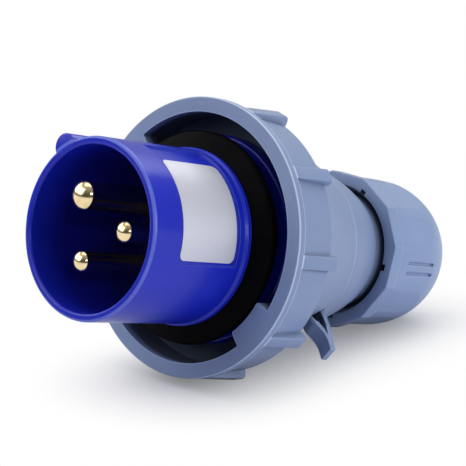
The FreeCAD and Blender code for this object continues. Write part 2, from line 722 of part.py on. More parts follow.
# Rear housing: socket for the spigot, cone, rounded back and threaded neck
housing = new_body("rear_housing")
housing_front = "ring_back + ring_play"
cone_front = "ring_back + ring_play + housing_band"
cavity_front = "spigot_end + 0.5"
lathe(housing, "shell", [
    (housing_front, "neck_radius + spigot_play"),
    (housing_front, "housing_radius - 0.4"),
    (housing_front + " + 0.4", "housing_radius"),
    (cone_front, "housing_radius"),
    ("step_at", "step_radius"),
    ("step_at + 0.4", "step_radius - step_drop"),
    ("shoulder_end", "shoulder_radius"),
    ("shoulder_end + 0.6", "thread_radius"),
    ("thread_end - 0.6", "thread_radius"),
    ("thread_end", "thread_radius - 0.6"),
    ("thread_end", "neck_bore"),
    ("shoulder_end - 2", "neck_bore"),
    ("step_at", "step_radius - 0.9*housing_wall"),
    (cavity_front + " + 4", "neck_radius - 2.3"),
    (cavity_front, "neck_radius - 2.3"),
    (cavity_front, "neck_radius + spigot_play"),
], arcs={5: ("0.5*step_at + 0.5*shoulder_end",
            "0.5*step_radius - 0.5*step_drop + 0.5*shoulder_radius + shoulder_bulge")})
slot_depth = "lever_pivot_radius - lever_barrel - slot_gap"
slot_back = "lever_pivot + lever_barrel + slot_gap"
slab(housing, "lever_slot", [
    ("lever_foot_front - slot_gap", "lever_foot - slot_gap"),
    ("lever_foot_front - slot_gap", "housing_radius + 2"),
    (slot_back, "housing_radius + 2"),
    (slot_back, slot_depth),
    (slot_back + " - 2*lever_barrel - 2*slot_gap", slot_depth),
], "lever_width + 2*slot_gap", "lever_angle", kind="Pocket")


def across(body, name, radius, length, kind):
    """Round bar or hole across the lever's pivot."""
    sketch = body.newObject("Sketcher::SketchObject", name + "_circle")
    sketch.AttachmentSupport = (origin_part(body, "XZ_Plane"), [""])
    sketch.MapMode = "FlatFace"
    at = Vector(number("lever_pivot"), number("lever_pivot_radius"), 0)
    sketch.addGeometry(Part.Circle(at, Vector(0, 0, 1), number(radius)), False)
    for axis, text in (("DistanceX", "lever_pivot"), ("DistanceY", "lever_pivot_radius")):
        index = sketch.addConstraint(Sketcher.Constraint(axis, -1, 1, 0, 3, number(text)))
        bind(sketch, "Constraints[%d]" % index, text)
    wide = sketch.addConstraint(Sketcher.Constraint("Radius", 0, number(radius)))
    bind(sketch, "Constraints[%d]" % wide, radius)
    feature = body.newObject("PartDesign::" + kind, name)
    feature.Profile = sketch
    feature.Midplane = True
    bind(feature, "Length", length)
    return sketch


ears = across(housing, "ear_holes", "lever_barrel + seat_play",
              "lever_width + 2*lever_ear + 2*slot_gap", "Pocket")
shift(ears, turn="lever_angle", axis=Vector(1, 0, 0))
finish(housing)

oring = doc.addObject("Part::Torus", "housing_o_ring")
oring.Label = "housing_o_ring"
bind(oring, "Radius1", "neck_radius + spigot_play - oring_wire - 0.5*seat_play")
bind(oring, "Radius2", "oring_wire - 0.5*seat_play")
finish(oring, Placement(Vector(number("oring_at"), 0, 0), Rotation(Vector(0, 1, 0), 90)))

# Lock lever: two legs that meet at the outer end, with a barrel across the back leg's root
lever = new_body("lock_lever")
slab(lever, "legs", [
    ("lever_foot_front", "lever_foot"),
    ("lever_pivot - lever_top_back - lever_top_length", "lever_top"),
    ("lever_pivot - lever_top_back", "lever_top - 0.5"),
    ("lever_pivot + 0.5*lever_leg", "lever_pivot_radius"),
    ("lever_pivot - 0.7*lever_leg", "lever_pivot_radius"),
    ("lever_pivot - lever_fork_back", "lever_pivot_radius + lever_fork_rise"),
    ("lever_foot_back", "lever_foot"),
], "lever_width", "lever_angle")
bar = across(lever, "barrel", "lever_barrel", "lever_width + 2*lever_ear", "Pad")
shift(bar, turn="lever_angle", axis=Vector(1, 0, 0))
finish(lever)

# Gland nut: collar with flats, body whose flats fade into a domed end, grip grooves.
# The dome runs from square to the axis through 45 degrees and passes smoothly into the
# tighter rounding around the end
nut = new_body("gland_nut")
collar_end = "nut_front + nut_band"
body_front = "nut_front + nut_band + nut_bevel"
lathe(nut, "shell", [
    ("nut_front", "nut_mouth"),
    ("nut_front", "nut_corner - 0.5"),
    ("nut_front + 0.5", "nut_corner"),
    (collar_end, "nut_corner"),
    (body_front, "nut_body"),
    ("nut_dome_at", "nut_body"),
    ("nut_dome_at + 0.70711*nut_dome", "nut_body - 0.29289*nut_dome"),
    ("nut_end", "nut_face"),
    ("nut_end", "cable_radius + 0.6"),
    ("nut_end - 0.6", "cable_radius"),
    ("nut_cone_at + washer_thick + 2*seat_play", "cable_radius"),
    ("nut_cone_at + washer_thick + 2*seat_play", "nut_cone"),
    ("nut_cone_at", "nut_cone"),
    ("thread_end + 1", "thread_radius + thread_play"),
    ("nut_front + nut_mouth_depth", "thread_radius + thread_play"),
    ("nut_front + nut_mouth_depth", "nut_mouth"),
], arcs={
    5: ("nut_dome_at + 0.38268*nut_dome", "nut_body - 0.07612*nut_dome"),
    6: ("nut_round_at + 0.92388*nut_round", "nut_face + 0.38268*nut_round"),
})


def flats(name, flat, at, length):
    """Cut a band of flats: what lies outside a regular polygon goes."""
    sides = int(number("nut_sides"))
    half = math.radians(180.0 / sides)
    sketch = nut.newObject("Sketcher::SketchObject", name + "_polygon")
    sketch.AttachmentSupport = (origin_part(nut, "YZ_Plane"), [""])
    sketch.MapMode = "FlatFace"
    corner = number(flat) / math.cos(half)
    spots = [Vector(corner * math.sin(half * (2 * i + 1)), corner * math.cos(half * (2 * i + 1)), 0)
             for i in range(sides)]
    for i in range(sides):
        sketch.addGeometry(Part.LineSegment(spots[i], spots[(i + 1) % sides]), False)
    for i in range(sides):
        sketch.addConstraint(Sketcher.Constraint("Coincident", i, 2, (i + 1) % sides, 1))
        if i:
            sketch.addConstraint(Sketcher.Constraint("Equal", 0, i))
    outer = sketch.addGeometry(Part.Circle(Vector(0, 0, 0), Vector(0, 0, 1), 2 * corner), False)
    sketch.addConstraint(Sketcher.Constraint("Coincident", outer, 3, -1, 1))
    sketch.addConstraint(Sketcher.Constraint("Diameter", outer, 4 * corner))
    inner = sketch.addGeometry(Part.Circle(Vector(0, 0, 0), Vector(0, 0, 1), corner), True)
    sketch.addConstraint(Sketcher.Constraint("Coincident", inner, 3, -1, 1))
    for i in range(sides):
        sketch.addConstraint(Sketcher.Constraint("PointOnObject", i, 1, inner))
    wide = sketch.addConstraint(Sketcher.Constraint("Radius", inner, corner))
    reach = "%s / cos(180 deg / Sizes.nut_sides)" % spelled(flat)
    sketch.setExpression("Constraints[%d]" % wide, reach)
    sketch.addConstraint(Sketcher.Constraint("Horizontal", sides - 1))
    shift(sketch, along=at, turn="nut_turn_angle")
    feature = nut.newObject("PartDesign::Pocket", name)
    feature.Profile = sketch
    feature.Reversed = True
    bind(feature, "Length", length)


flats("collar_flats", "nut_flat", "nut_front - 1", "nut_band + 1 + 0.5*nut_bevel")
flats("body_flats", "nut_body_flat", "nut_front + nut_band + 0.5*nut_bevel",
      "nut_round_at - nut_front - nut_band")
notch = block(nut, "notch", [
    ("-0.5*nut_notch_width", "nut_mouth - 1"),
    ("-0.5*nut_notch_width", "nut_mouth + nut_notch"),
    ("0.5*nut_notch_width", "nut_mouth + nut_notch"),
    ("0.5*nut_notch_width", "nut_mouth - 1"),
], "nut_front - 1", "0.6*nut_mouth_depth + 1", "nut_turn_angle + 20", kind="Pocket")
around(nut, "notches", [notch], "nut_notches")
groove_floor = "nut_body_flat - 2*groove_depth"
grooves = []
for side, middle in (("left", "-0.5*groove_pitch"), ("right", "0.5*groove_pitch")):
    grooves.append(block(nut, "groove_" + side, [
        (middle + " - 0.5*groove_width", groove_floor),
        (middle + " - 0.5*groove_width", "nut_corner"),
        (middle + " + 0.5*groove_width", "nut_corner"),
        (middle + " + 0.5*groove_width", groove_floor),
    ], "groove_front", "groove_length", "nut_turn_angle + 90", kind="Pocket"))
around(nut, "grip_grooves", grooves, "groove_pairs")
finish(nut)

# Clamp with fingers, the seal inside it and the slip washer that turns against the nut
clamp = new_body("gland_clamp")
lathe(clamp, "sleeve", [
    ("clamp_front", "cable_radius"),
    ("clamp_front", "neck_bore - seat_play"),
    ("clamp_base - 1.5", "neck_bore - seat_play"),
    ("clamp_base - 1.5", "clamp_out"),
    ("clamp_back - 1", "clamp_out"),
    ("clamp_back", "clamp_out - 0.6"),
    ("clamp_back", "cable_radius + seal_wall + seat_play"),
    ("clamp_front + 1.5", "cable_radius + seal_wall + seat_play"),
    ("clamp_front + 1.5", "cable_radius"),
])
gap = block(clamp, "finger_gap", [
    ("-0.5*clamp_gap", "cable_radius + 1"),
    ("-0.5*clamp_gap", "neck_bore + 1"),
    ("0.5*clamp_gap", "neck_bore + 1"),
    ("0.5*clamp_gap", "cable_radius + 1"),
], "clamp_base", "clamp_back - clamp_base + 1", "0", kind="Pocket")
around(clamp, "finger_gaps", [gap], "clamp_fingers")
finish(clamp)

cable_seal = new_body("cable_seal")
lathe(cable_seal, "rubber", [
    ("clamp_front + 1.5 + seat_play", "cable_radius"),
    ("clamp_front + 1.5 + seat_play", "cable_radius + seal_wall"),
    ("clamp_back - 0.5", "cable_radius + seal_wall"),
    ("clamp_back - 0.5", "cable_radius"),
])
finish(cable_seal)

washer = new_body("slip_washer")
lathe(washer, "ring", [
    ("nut_cone_at + seat_play", "cable_radius"),
    ("nut_cone_at + seat_play", "nut_cone - 0.3"),
    ("nut_cone_at + washer_thick + seat_play", "nut_cone - 0.3"),
    ("nut_cone_at + washer_thick + seat_play", "cable_radius"),
])
finish(washer)

# The plug as it comes to rest on a floor: two ribs of the ring and the nut's rounded end
# touch it, so the tilt is the one at which both reach equally deep
half_rib = math.radians(180.0 / number("rib_count"))
rib_rise = number("rib_radius - rib_round") * math.cos(half_rib)
rib_rise += number("0.5*rib_width") * math.sin(half_rib)


def rib_depth(lean):
    reach = math.hypot(math.cos(half_rib) * math.cos(lean), math.sin(lean))
    deep = rib_rise * math.cos(lean) + number(rib_end + " - rib_round") * math.sin(lean)
    return deep + number("rib_round") * reach


def nut_depth(lean):
    deep = number("nut_body - nut_dome") * math.cos(lean) + number("nut_dome_at") * math.sin(lean)
    return deep + number("nut_dome")


low, high = 0.0, math.radians(40.0)
for step in range(60):
    tilt = 0.5 * (low + high)
    if nut_depth(tilt) > rib_depth(tilt):
        high = tilt
    else:
        low = tilt
lean = Rotation(Vector(0, 1, 0), math.degrees(tilt))
front = number("rim_round") * (math.cos(tilt) - 1.0)
front -= number("sleeve_radius - rim_round") * math.sin(tilt)
back = number("nut_round_at") * math.cos(tilt) + number("nut_face") * math.sin(tilt)
back += number("nut_round")
middle = 0.5 * (front + back)
lying = Placement(Vector(-middle, 0, rib_depth(tilt)), lean)

for piece, place in pieces:
    piece.Placement = lying.multiply(place)
doc.recompute()

# Check everything before anything is written
for thing in doc.Objects:
    if "Invalid" in thing.State or "Error" in thing.State:
        raise RuntimeError(thing.Name + " did not build")
for piece, place in pieces:
    if piece.Shape.isNull() or not piece.Shape.isValid():
        raise RuntimeError(piece.Label + " has no sound shape")
for piece, place in pieces:
    piece.Shape.exportStep("parts/" + piece.Label + ".step")
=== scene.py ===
"""Looks for the industrial pin and sleeve plug, laid out as an add-on and run as a script."""
import math

import bmesh
import bpy
from bpy.props import FloatProperty, FloatVectorProperty, IntProperty, PointerProperty
from mathutils import Matrix, Vector


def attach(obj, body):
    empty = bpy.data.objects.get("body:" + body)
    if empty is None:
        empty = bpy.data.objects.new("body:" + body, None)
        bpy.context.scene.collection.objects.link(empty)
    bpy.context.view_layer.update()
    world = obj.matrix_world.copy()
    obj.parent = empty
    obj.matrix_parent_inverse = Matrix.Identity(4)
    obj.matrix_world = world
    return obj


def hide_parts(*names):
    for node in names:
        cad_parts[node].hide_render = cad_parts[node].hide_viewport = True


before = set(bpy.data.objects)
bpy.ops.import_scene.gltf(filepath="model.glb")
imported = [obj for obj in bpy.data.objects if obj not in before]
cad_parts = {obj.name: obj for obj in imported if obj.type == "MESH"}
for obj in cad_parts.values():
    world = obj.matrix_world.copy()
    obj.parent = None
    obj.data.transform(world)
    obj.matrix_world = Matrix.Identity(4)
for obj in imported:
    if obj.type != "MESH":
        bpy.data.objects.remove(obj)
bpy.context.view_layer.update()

bl_info = {
    "name": "Pin and sleeve plug",
    "version": (1, 0, 0),
    "blender": (4, 5, 0),
    "location": "View3D > Sidebar > Plug",
    "description": "Finishes, moulded details and a plain stage for an industrial plug",
    "category": "Object",
}

# The plug's own axis as it lies: X runs rearwards from the middle of the sleeve's rim
TILT = math.radians(12.123276849)
RIM = Vector((-0.0629107306, 0.0, 0.0444867490))
LYING = Matrix.Translation(RIM) @ Matrix.Rotation(TILT, 4, "Y")
REARWARD = (LYING.to_3x3() @ Vector((1.0, 0.0, 0.0))).normalized()

# Lengths below are in millimetres, and MM turns them into metres. Angles are in degrees from the
# top, clockwise seen from the open end. An outline's points are (distance behind the rim,
# distance from the plug's axis, rounding of the corner).
MM = 0.001

# Contacts: node, radius, angle, and how far its tip leads the others
PINS = (
    ("earth_pin", 3.5, 324.0, 1.0),
    ("line_pin", 2.5, 84.0, 0.0),
    ("neutral_pin", 2.5, 204.0, 0.0),
)
PIN_CIRCLE = 9.0
PIN_TIP = 3.0
CARRIER_FRONT = 38.0

# The key's lobe: its middle and its foot from the plug's axis, its angle and its length
LOBE_REACH = 21.3
LOBE_FOOT = 20.6
LOBE_ANGLE = 326.2
LOBE_LENGTH = 31.3

# Face seal, with its lip at the front
SEAL = [(33.35, 21.65), (33.35, 22.25, 0.15), (35.04, 26.9, 0.8), (36.65, 26.9, 0.5),
        (37.6, 23.7, 0.3), (41.3, 23.7, 0.2), (41.3, 21.65)]

# Coupling ring: wall with its band and web, one of its ribs, and one of its bayonet lugs
RING_WALL = [(35.1, 31.5), (35.1, 35.33, 0.45), (37.3, 35.33, 0.2), (37.4, 34.4, 0.15),
             (50.0, 33.6, 0.45), (50.0, 24.5, 0.2), (45.3, 24.5, 0.2), (45.3, 31.5, 0.8)]
RING_RIB = [(36.8, 32.0), (36.8, 35.31), (37.6, 35.35), (51.3, 35.9, 1.5), (51.3, 33.2, 0.3),
            (49.0, 32.6)]
RING_LUG = [(35.1, 27.7), (35.1, 31.52), (40.1, 31.52), (40.1, 27.7)]
RING_ANGLE = 126.0

# Where the painted shade in the nut's corners stops, and the edge of the housing's step, which gets
# a painted highlight
NUT_COLLAR_BACK = 98.0
HOUSING_STEP = 75.75

# Lock lever: its pivot, angle and barrel, and its legs' outline from the pivot
LEVER_PIVOT = 66.6
LEVER_REACH = 24.0
LEVER_ANGLE = 126.0
BARREL_RADIUS = 0.9
BARREL_LENGTH = 4.8
LEVER_LEGS = [(-8.1, 3.0), (-8.1, 6.4, 0.5), (-7.5, 8.0, 0.8), (-7.2, 10.9, 1.4),
              (-9.4, 15.2, 0.3), (-7.5, 15.5, 0.4), (-6.0, 12.9, 0.8), (-3.6, 9.3, 0.8),
              (0.2, 3.0, 0.8), (0.75, 0.0), (-1.05, 0.0), (-1.6, 3.0, 0.6), (-4.4, 7.5, 0.8),
              (-6.2, 10.5, 0.25), (-5.9, 8.3, 0.8), (-6.3, 6.4, 0.5), (-6.5, 3.0)]


# Materials

class Field:
    """A socket that plain arithmetic can be done on; each operation adds a Math node."""

    def __init__(self, finish, socket):
        self.finish = finish
        self.socket = socket

    def _math(self, operation, *values):
        return self.finish.node("Math", {"operation": operation}, values)

    def __add__(self, other):
        return self._math("ADD", self, other)

    def __radd__(self, other):
        return self._math("ADD", other, self)

    def __sub__(self, other):
        return self._math("SUBTRACT", self, other)

    def __rsub__(self, other):
        return self._math("SUBTRACT", other, self)

    def __mul__(self, other):
        return self._math("MULTIPLY", self, other)

    def __rmul__(self, other):
        return self._math("MULTIPLY", other, self)

    def __pow__(self, other):
        return self._math("POWER", self, other)

    def sine(self):
        return self._math("SINE", self)

    def size(self):
        return self._math("ABSOLUTE", self)

    def at_least(self, other):
        return self._math("MAXIMUM", self, other)

    def rise(self, low, high):
        """0 below low, 1 above high, and smooth between them."""
        return self.finish.node("MapRange", {"interpolation_type": "SMOOTHSTEP"},
                                {"Value": self, "From Min": low, "From Max": high})

    def band(self, low, high, edge):
        """1 between low and high, fading over edge."""
        return self.rise(low - edge, low) * (1.0 - self.rise(high, high + edge))


class Finish:
    """A material under construction."""

    def __init__(self, name, **values):
        self.material = bpy.data.materials.new(name)
        self.material.use_nodes = True
        self.tree = self.material.node_tree
        self.shader = self.tree.nodes["Principled BSDF"]
        for socket, value in values.items():
            self.feed(socket.replace("_", " "), value)
        self.place = self.node("TexCoord", out="Object")
        self._along = None

    def node(self, kind, settings=None, values=(), out=0):
        """Add a node; its settings come first, then the values or links of its sockets."""
        made = self.tree.nodes.new("ShaderNode" + kind)
        for name, value in (settings or {}).items():
            setattr(made, name, value)
        pairs = values.items() if isinstance(values, dict) else enumerate(values)
        for key, value in pairs:
            self._set(made.inputs[key], value)
        return Field(self, made.outputs[out])

    def _set(self, socket, value):
        if isinstance(value, Field):
            self.tree.links.new(value.socket, socket)
        else:
            socket.default_value = value

    def feed(self, name, value):
        """Set or link one of the shader's inputs."""
        self._set(self.shader.inputs[name], value)

    def noise(self, scale, detail=2.0, stretch=None):
        """Even noise, 0 to 1, with scale in features per metre."""
        place = self.place
        if stretch:
            place = self.node("Mapping", {}, {"Vector": place, "Scale": stretch})
        return self.node("TexNoise", {}, {"Vector": place, "Scale": scale, "Detail": detail,
                                          "Roughness": 0.55}, out="Fac")

    def crease(self, distance):
        """1 in the open, falling towards 0 in corners narrower than distance."""
        return self.node("AmbientOcclusion", {"samples": 8}, {"Distance": distance}, out="AO")

    def rims(self, radius):
        """1 along edges narrower than radius, 0 on plain surfaces."""
        round_over = self.node("Bevel", {"samples": 6}, {"Radius": radius})
        plain = self.node("NewGeometry", out="Normal")
        turn = self.node("VectorMath", {"operation": "DOT_PRODUCT"}, (round_over, plain),
                         out="Value")
        return (1.0 - turn).rise(0.015, 0.12)

    def mix(self, factor, first, second):
        """Colour between first and second."""
        made = self.tree.nodes.new("ShaderNodeMix")
        made.data_type = "RGBA"
        self._set(made.inputs[0], factor)
        for socket, value in ((made.inputs[6], first), (made.inputs[7], second)):
            self._set(socket, value if isinstance(value, Field) else (*value[:3], 1.0))
        return Field(self, made.outputs[2])

    def along(self):
        """(distance behind the rim, distance from the plug's axis), in metres."""
        if not self._along:
            offset = self.node("VectorMath", {"operation": "SUBTRACT"}, (self.place, tuple(RIM)))
            station = self.node("VectorMath", {"operation": "DOT_PRODUCT"},
                                (offset, tuple(REARWARD)), out="Value")
            across = self.node("VectorMath", {"operation": "CROSS_PRODUCT"},
                               (offset, tuple(REARWARD)))
            reach = self.node("VectorMath", {"operation": "LENGTH"}, (across,), out="Value")
            self._along = (station, reach)
        return self._along

    def relief(self, height, depth, edge=0.0):
        """Normals from a height field of the given depth in metres, over rounded edges."""
        values = {"Height": height, "Distance": depth, "Strength": 1.0}
        if edge:
            values["Normal"] = self.node("Bevel", {"samples": 6}, {"Radius": edge})
        self.feed("Normal", self.node("Bump", {}, values))


class Surround(Finish):
    """The world around the stage, built with the same nodes."""

    def __init__(self, name):
        self.world = bpy.data.worlds.new(name)
        self.world.use_nodes = True
        self.tree = self.world.node_tree
        self.shader = self.tree.nodes["Background"]
        self.place = self.node("TexCoord", out="Object")


def paint(finish, *things):
    """Give a finish to every slot of these objects."""
    for thing in things:
        thing.data.materials.clear()
        thing.data.materials.append(finish.material)


def cad(*names):
    """CAD objects by their node names."""
    return [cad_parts[name] for name in names]


# Shapes

def drawn(outline, closed=True, segments=10):
    """An outline in the plug's upper half plane, its corners rounded where a point says so."""
    form = bmesh.new()
    points = [form.verts.new((spot[0] * MM, 0.0, spot[1] * MM)) for spot in outline]
    for first, second in zip(points, points[1:] + (points[:1] if closed else [])):
        form.edges.new((first, second))
    for point, spot in zip(points, outline):
        if len(spot) > 2:
            bmesh.ops.bevel(form, geom=[point], affect="VERTICES", offset=spot[2] * MM,
                            offset_type="OFFSET", segments=segments, profile=0.5, material=-1)
    return form


def lathe(outline, closed=True, steps=128):
    """Spin an outline around the axis."""
    form = drawn(outline, closed)
    bmesh.ops.spin(form, geom=form.verts[:] + form.edges[:], cent=(0.0, 0.0, 0.0),
                   axis=(1.0, 0.0, 0.0), angle=math.tau, steps=steps, use_merge=True)
    bmesh.ops.remove_doubles(form, verts=form.verts[:], dist=0.000004)
    bmesh.ops.recalc_face_normals(form, faces=form.faces[:])
    return form


def turned(name, body, outline, closed, steps=128, aside=(0.0, 0.0)):
    """A spun piece; aside is the angle of its own axis and its distance from the plug's."""
    form = lathe(outline, closed, steps)
    turn, out = math.radians(aside[0]), aside[1] * MM
    put = Matrix.Translation((0.0, -out * math.sin(turn), out * math.cos(turn)))
    bmesh.ops.transform(form, matrix=LYING @ put, verts=form.verts[:])
    return finished(name, body, form)


def plate(outline, width, rounding, widen=None):
    """Extrude an outline to both sides; widen is (radius, factor) for what lies further out."""
    form = drawn(outline, segments=8)
    face = bmesh.ops.edgeloop_fill(form, edges=form.edges[:])["faces"]
    bmesh.ops.translate(form, vec=(0.0, -0.5 * width * MM, 0.0), verts=form.verts[:])
    pulled = bmesh.ops.extrude_face_region(form, geom=face)["geom"]
    moved = [part for part in pulled if isinstance(part, bmesh.types.BMVert)]
    bmesh.ops.translate(form, vec=(0.0, width * MM, 0.0), verts=moved)
    if widen:
        outer = [point for point in form.verts if point.co.z > widen[0] * MM]
        bmesh.ops.scale(form, vec=(1.0, widen[1], 1.0), verts=outer)
    bmesh.ops.recalc_face_normals(form, faces=form.faces[:])
    soften(form, sharp_edges(form), rounding)
    return form


def soften(form, edges, rounding, segments=3):
    """Round these edges over."""
    bmesh.ops.bevel(form, geom=edges, affect="EDGES", offset=rounding * MM,
                    offset_type="OFFSET", segments=segments, profile=0.5, material=-1)


def sharp_edges(form, angle=40.0):
    """Edges whose faces meet at more than an angle in degrees."""
    return [edge for edge in form.edges if edge.calc_face_angle(0.0) > math.radians(angle)]


def repeat(form, times, first):
    """Even copies around the plug's axis, the first turned to an angle."""
    bmesh.ops.rotate(form, cent=(0.0, 0.0, 0.0), verts=form.verts[:],
                     matrix=Matrix.Rotation(math.radians(first), 3, "X"))
    bmesh.ops.spin(form, geom=form.verts[:] + form.edges[:] + form.faces[:], cent=(0.0, 0.0, 0.0),
                   axis=(1.0, 0.0, 0.0), angle=math.tau * (times - 1) / times, steps=times - 1,
                   use_duplicate=True)


def add_to(form, other):
    """Move another bmesh's shape into this one."""
    mesh = bpy.data.meshes.new("passing")
    other.to_mesh(mesh)
    other.free()
    form.from_mesh(mesh)
    bpy.data.meshes.remove(mesh)


def finished(name, body, form):
    """Turn a bmesh into a smooth object that rides on a body."""
    for face in form.faces:
        face.smooth = True
    mesh = bpy.data.meshes.new(name)
    form.to_mesh(mesh)
    form.free()
    mesh.set_sharp_from_angle(angle=math.radians(32.0))
    thing = bpy.data.objects.new(name, mesh)
    bpy.context.scene.collection.objects.link(thing)
    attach(thing, body)
    return thing


# Sizes and colours

class PlugColours(bpy.types.PropertyGroup):
    """Base colours, linear"""

    sleeve: FloatVectorProperty(name="Sleeve", description="Blue of the sleeve", subtype="COLOR",
                                default=(0.009, 0.020, 0.46), min=0.0, max=1.0)
    housing: FloatVectorProperty(name="Housing", description="Grey of ring, housing and nut",
                                 subtype="COLOR", default=(0.245, 0.325, 0.515), min=0.0, max=1.0)
    seal: FloatVectorProperty(name="Seal", description="Black of the rubber", subtype="COLOR",
                              default=(0.0025, 0.0025, 0.003), min=0.0, max=1.0)
    brass: FloatVectorProperty(name="Brass", description="Brass of the pins", subtype="COLOR",
                               default=(0.92, 0.75, 0.45), min=0.0, max=1.0)
    label: FloatVectorProperty(name="Label", description="Silver of the label", subtype="COLOR",
                               default=(0.62, 0.63, 0.70), min=0.0, max=1.0)


class PlugSizes(bpy.types.PropertyGroup):
    """Sizes of the moulded details"""

    ribs: IntProperty(name="Ribs", description="Grip ribs around the coupling ring", default=10,
                      min=2, max=24)
    rib_width: FloatProperty(name="Rib width", description="Width of a grip rib",
                             default=3.4 * MM, min=0.0, precision=5, unit="LENGTH")
    lug_sweep: FloatProperty(name="Lug sweep", description="Angle that a bayonet lug spans",
                             default=math.radians(23.2), min=0.0, unit="ROTATION")
    lug_corner: FloatProperty(name="Lug corner", description="Rounding of a lug's inner corners",
                              default=0.9 * MM, min=0.0, precision=5, unit="LENGTH")
    lobe_radius: FloatProperty(name="Lobe radius", description="Radius of the key's lobe",
                               default=3.3 * MM, min=0.0, precision=5, unit="LENGTH")
    lever_width: FloatProperty(name="Lever width", description="Width of the lever at its root",
                               default=3.0 * MM, min=0.0, precision=5, unit="LENGTH")


class PlugStage(bpy.types.PropertyGroup):
    """Light and camera"""

    key: FloatProperty(name="Key", description="Power of the light at the right", default=4.4,
                       min=0.0, unit="POWER")
    top: FloatProperty(name="Top", description="Power of the light above", default=1.4, min=0.0,
                       unit="POWER")
    back: FloatProperty(name="Back", description="Power of the light behind", default=2.6,
                        min=0.0, unit="POWER")
    edge: FloatProperty(name="Edge", description="Power of the small light beside the camera",
                        default=0.60, min=0.0, unit="POWER")
    fill: FloatProperty(name="Fill", description="Power of each light at the left", default=2.8,
                        min=0.0, unit="POWER")
    dim: FloatProperty(name="Dim", description="Strength of the darker side of the surround",
                       default=0.06, min=0.0)
    bright: FloatProperty(name="Bright", description="What the brighter side adds to it",
                          default=0.40, min=0.0)
    lens: FloatProperty(name="Lens", description="Focal length on a 36 mm sensor", default=115.88,
                        min=10.0, unit="CAMERA")


def colours():
    return bpy.context.scene.plug_colours


def sizes():
    return bpy.context.scene.plug_sizes


def stage_settings():
    return bpy.context.scene.plug_stage


# Pieces

def key_lobe():
    """The key's full rounded lobe, seated on the sleeve over the CAD key."""
    form = bmesh.new()
    proud = 0.02
    bmesh.ops.create_circle(form, cap_ends=True, segments=72, radius=sizes().lobe_radius,
                            matrix=Matrix.Translation((-proud * MM, 0.0, LOBE_REACH * MM))
                            @ Matrix.Rotation(math.radians(90.0), 4, "Y"))
    pulled = bmesh.ops.extrude_face_region(form, geom=form.faces[:])["geom"]
    moved = [part for part in pulled if isinstance(part, bmesh.types.BMVert)]
    bmesh.ops.translate(form, vec=(LOBE_LENGTH * MM, 0.0, 0.0), verts=moved)
    bmesh.ops.bisect_plane(form, geom=form.verts[:] + form.edges[:] + form.faces[:],
                           dist=0.000001, plane_co=(0.0, 0.0, LOBE_FOOT * MM),
                           plane_no=(0.0, 0.0, 1.0), clear_inner=True)
    bmesh.ops.holes_fill(form, edges=[edge for edge in form.edges if edge.is_boundary], sides=0)
    bmesh.ops.recalc_face_normals(form, faces=form.faces[:])
    soften(form, [edge for edge in sharp_edges(form)
                  if all(point.co.z > (LOBE_FOOT + 0.1) * MM for point in edge.verts)], 0.3)
    spun = Matrix.Rotation(math.radians(LOBE_ANGLE), 4, "X")
    bmesh.ops.transform(form, matrix=LYING @ spun, verts=form.verts[:])
    lobe = finished("key_lobe", "plug", form)
    return lobe


class PLUG_OT_sleeve(bpy.types.Operator):
    """Finish the blue sleeve"""

    bl_idname = "plug.sleeve"
    bl_label = "Sleeve"

    def execute(self, context):
        blue = tuple(colours().sleeve)
        skin = Finish("sleeve_blue", Specular_IOR_Level=0.33)
        station, reach = skin.along()
        # Painted shade darkens the blue inside the sleeve and behind the seal; painted highlights
        # lighten its edges
        inside = (1.0 - reach.rise(0.0201, 0.0207)) * station.rise(0.0005, 0.012)
        behind_seal = station.rise(0.0335, 0.037)
        shaded = inside.at_least(behind_seal)
        cloud = skin.noise(55.0, 3.0)
        tint = skin.mix(cloud.rise(0.3, 0.7), [c * 0.93 for c in blue], [c * 1.05 for c in blue])
        # Painted highlights: lighter blue along the sleeve's edges
        tint = skin.mix(skin.rims(0.0006) * 0.5, tint, (0.09, 0.13, 0.66))
        # Painted highlight along the outer edge of the sleeve's front rim
        front_edge_highlight = reach.band(0.0213, 0.0219, 0.0002) * (1.0 - station.rise(0.0004, 0.0009))
        tint = skin.mix(front_edge_highlight * 0.55, tint, (0.20, 0.27, 0.80))
        # Painted shade colour for the inside of the sleeve and the flange behind the seal
        sleeve_shade_blue = [blue[0] * 0.6, blue[1] * 0.3, blue[2] * 0.5]
        skin.feed("Base Color", skin.mix(shaded * 0.8, tint, sleeve_shade_blue))
        skin.feed("Roughness", 0.22 + skin.noise(500.0, 2.0) * 0.07)
        skin.relief(skin.noise(1400.0, 1.0), 0.0000012, 0.0004)
        paint(skin, key_lobe(), *cad("plug_sleeve"))

        foil = Finish("label_foil", Metallic=0.30)
        grain = foil.noise(6000.0, 2.0, (1.0, 1.0, 0.15))
        base = tuple(colours().label)
        foil.feed("Base Color", foil.mix(grain.rise(0.3, 0.7), [c * 0.94 for c in base], base))
        foil.feed("Roughness", 0.36 + grain * 0.12)
        foil.relief(foil.noise(300.0, 2.0), 0.00002)
        paint(foil, *cad("rating_label"))
        return {"FINISHED"}


